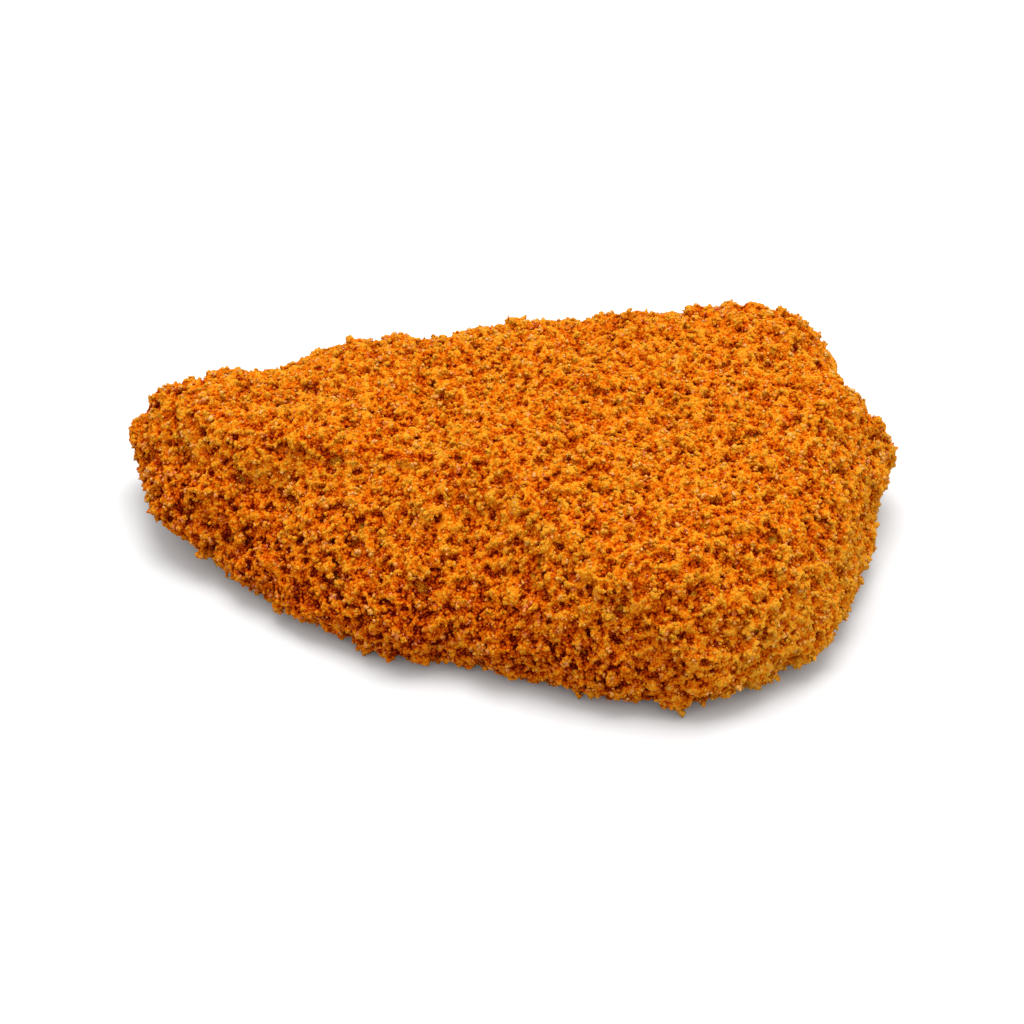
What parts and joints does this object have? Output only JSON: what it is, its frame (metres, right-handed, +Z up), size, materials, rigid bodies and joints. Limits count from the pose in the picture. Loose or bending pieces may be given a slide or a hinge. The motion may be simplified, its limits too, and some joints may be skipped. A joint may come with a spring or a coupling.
{
  "type": "fried chicken fillet",
  "caption": "Whole crumbed and fried chicken fillet: a thick teardrop piece with a thin tip, a broad end, a rounded flank and a lumpy, deep golden crumb crust, lying flat.",
  "frame": {"origin": "middle of the fillet's bounding box, on the surface that it lies on", "axes": "+X along the fillet towards its broad end, +Y across it towards its straight long side, +Z up"},
  "size_m": [0.125, 0.086, 0.027],
  "materials": {
    "crust": "matte"
  },
  "bodies": {
    "root": {"fillet": "crust"}
  },
  "joints": []
}
